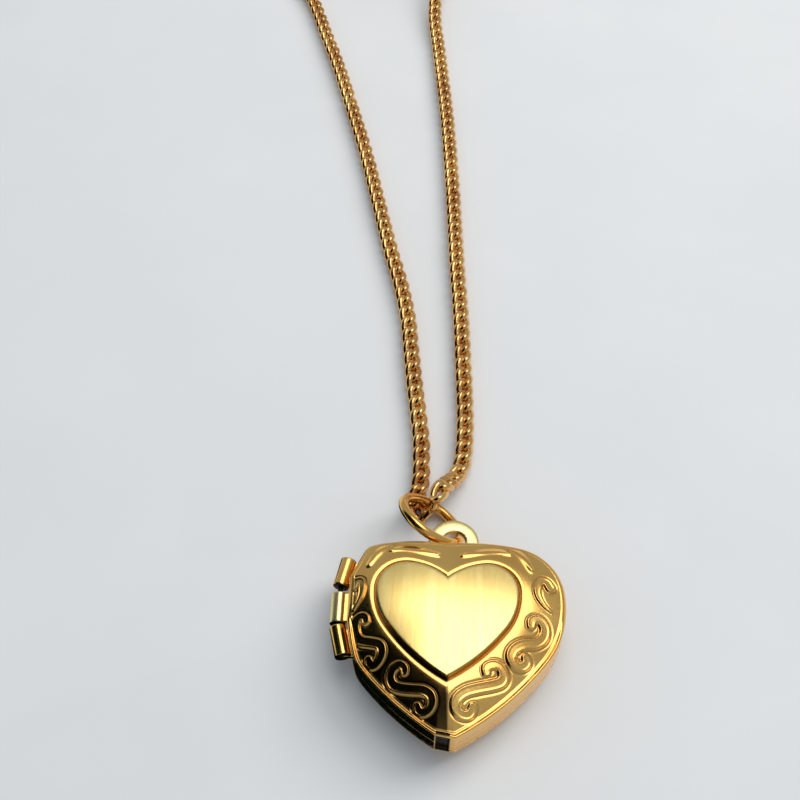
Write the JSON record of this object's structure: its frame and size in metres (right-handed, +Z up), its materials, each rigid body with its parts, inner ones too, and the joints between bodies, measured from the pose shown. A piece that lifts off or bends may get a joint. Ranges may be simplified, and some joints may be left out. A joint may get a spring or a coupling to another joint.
{
  "type": "pendant necklace",
  "caption": "Hinged heart locket with a scroll border and raised plain heart, on a fine curb chain with a spring ring clasp and a blank end tag.",
  "frame": {"origin": "the middle of the flat on the back half, where the locket lies on its back", "axes": "+Z up out of the locket's face, +Y from the heart's tip to its notch and on along the chain, +X to the right with the hinge on the left"},
  "size_m": [0.0344, 0.1309, 0.0061],
  "materials": {
    "case_gold": "polished, satin on the raised heart",
    "gold": "polished",
    "frame_gold": "satin",
    "eyelet_gold": "polished, paler",
    "pin_steel": "drawn wire",
    "spring_steel": "drawn wire",
    "window": "clear sheet",
    "card": "plain card"
  },
  "bodies": {
    "locket_back": {"back_shell": "case_gold", "snap_rim": "gold", "back_frame": "frame_gold", "back_window": "window", "back_card": "card", "knuckle_upper": "gold", "knuckle_lower": "gold", "hinge_pin": "pin_steel", "bail_eyelet": "eyelet_gold", "centre_link": "gold", "chain_left_run": "gold", "chain_left_coil": "gold", "chain_left_tail": "gold", "chain_right_run": "gold", "chain_right_coil": "gold", "chain_right_tail": "gold", "clasp_case": "gold", "clasp_spring": "spring_steel", "clasp_loop": "gold", "clasp_link": "gold", "tag_link": "gold", "end_tag": "gold"},
    "locket_front": {"front_shell": "case_gold", "front_frame": "frame_gold", "front_window": "window", "front_card": "card", "knuckle_middle": "gold"},
    "ring": {"jump_ring": "gold"},
    "bolt": {"clasp_bolt": "gold"}
  },
  "joints": [
    {"name": "lid_hinge", "type": "hinge", "parent": "locket_back", "child": "locket_front", "pos_m": [-0.0094, 0.00274, 0.00295], "axis": [0, -1, 0], "range_deg": [0, 160]},
    {"name": "ring_turn", "type": "hinge", "parent": "locket_back", "child": "ring", "pos_m": [-0.00164, 0.01215, 0.0026], "axis": [0.5243, 0.4557, 0.7193], "continuous": true},
    {"name": "clasp_bolt_slide", "type": "hinge", "parent": "locket_back", "child": "bolt", "pos_m": [-0.01, 0.1118, 0.00055], "axis": [0, 0, -1], "range_deg": [0, 62], "stiffness_Nm_per_rad": 0.0001, "deforming": ["clasp_spring"]}
  ]
}
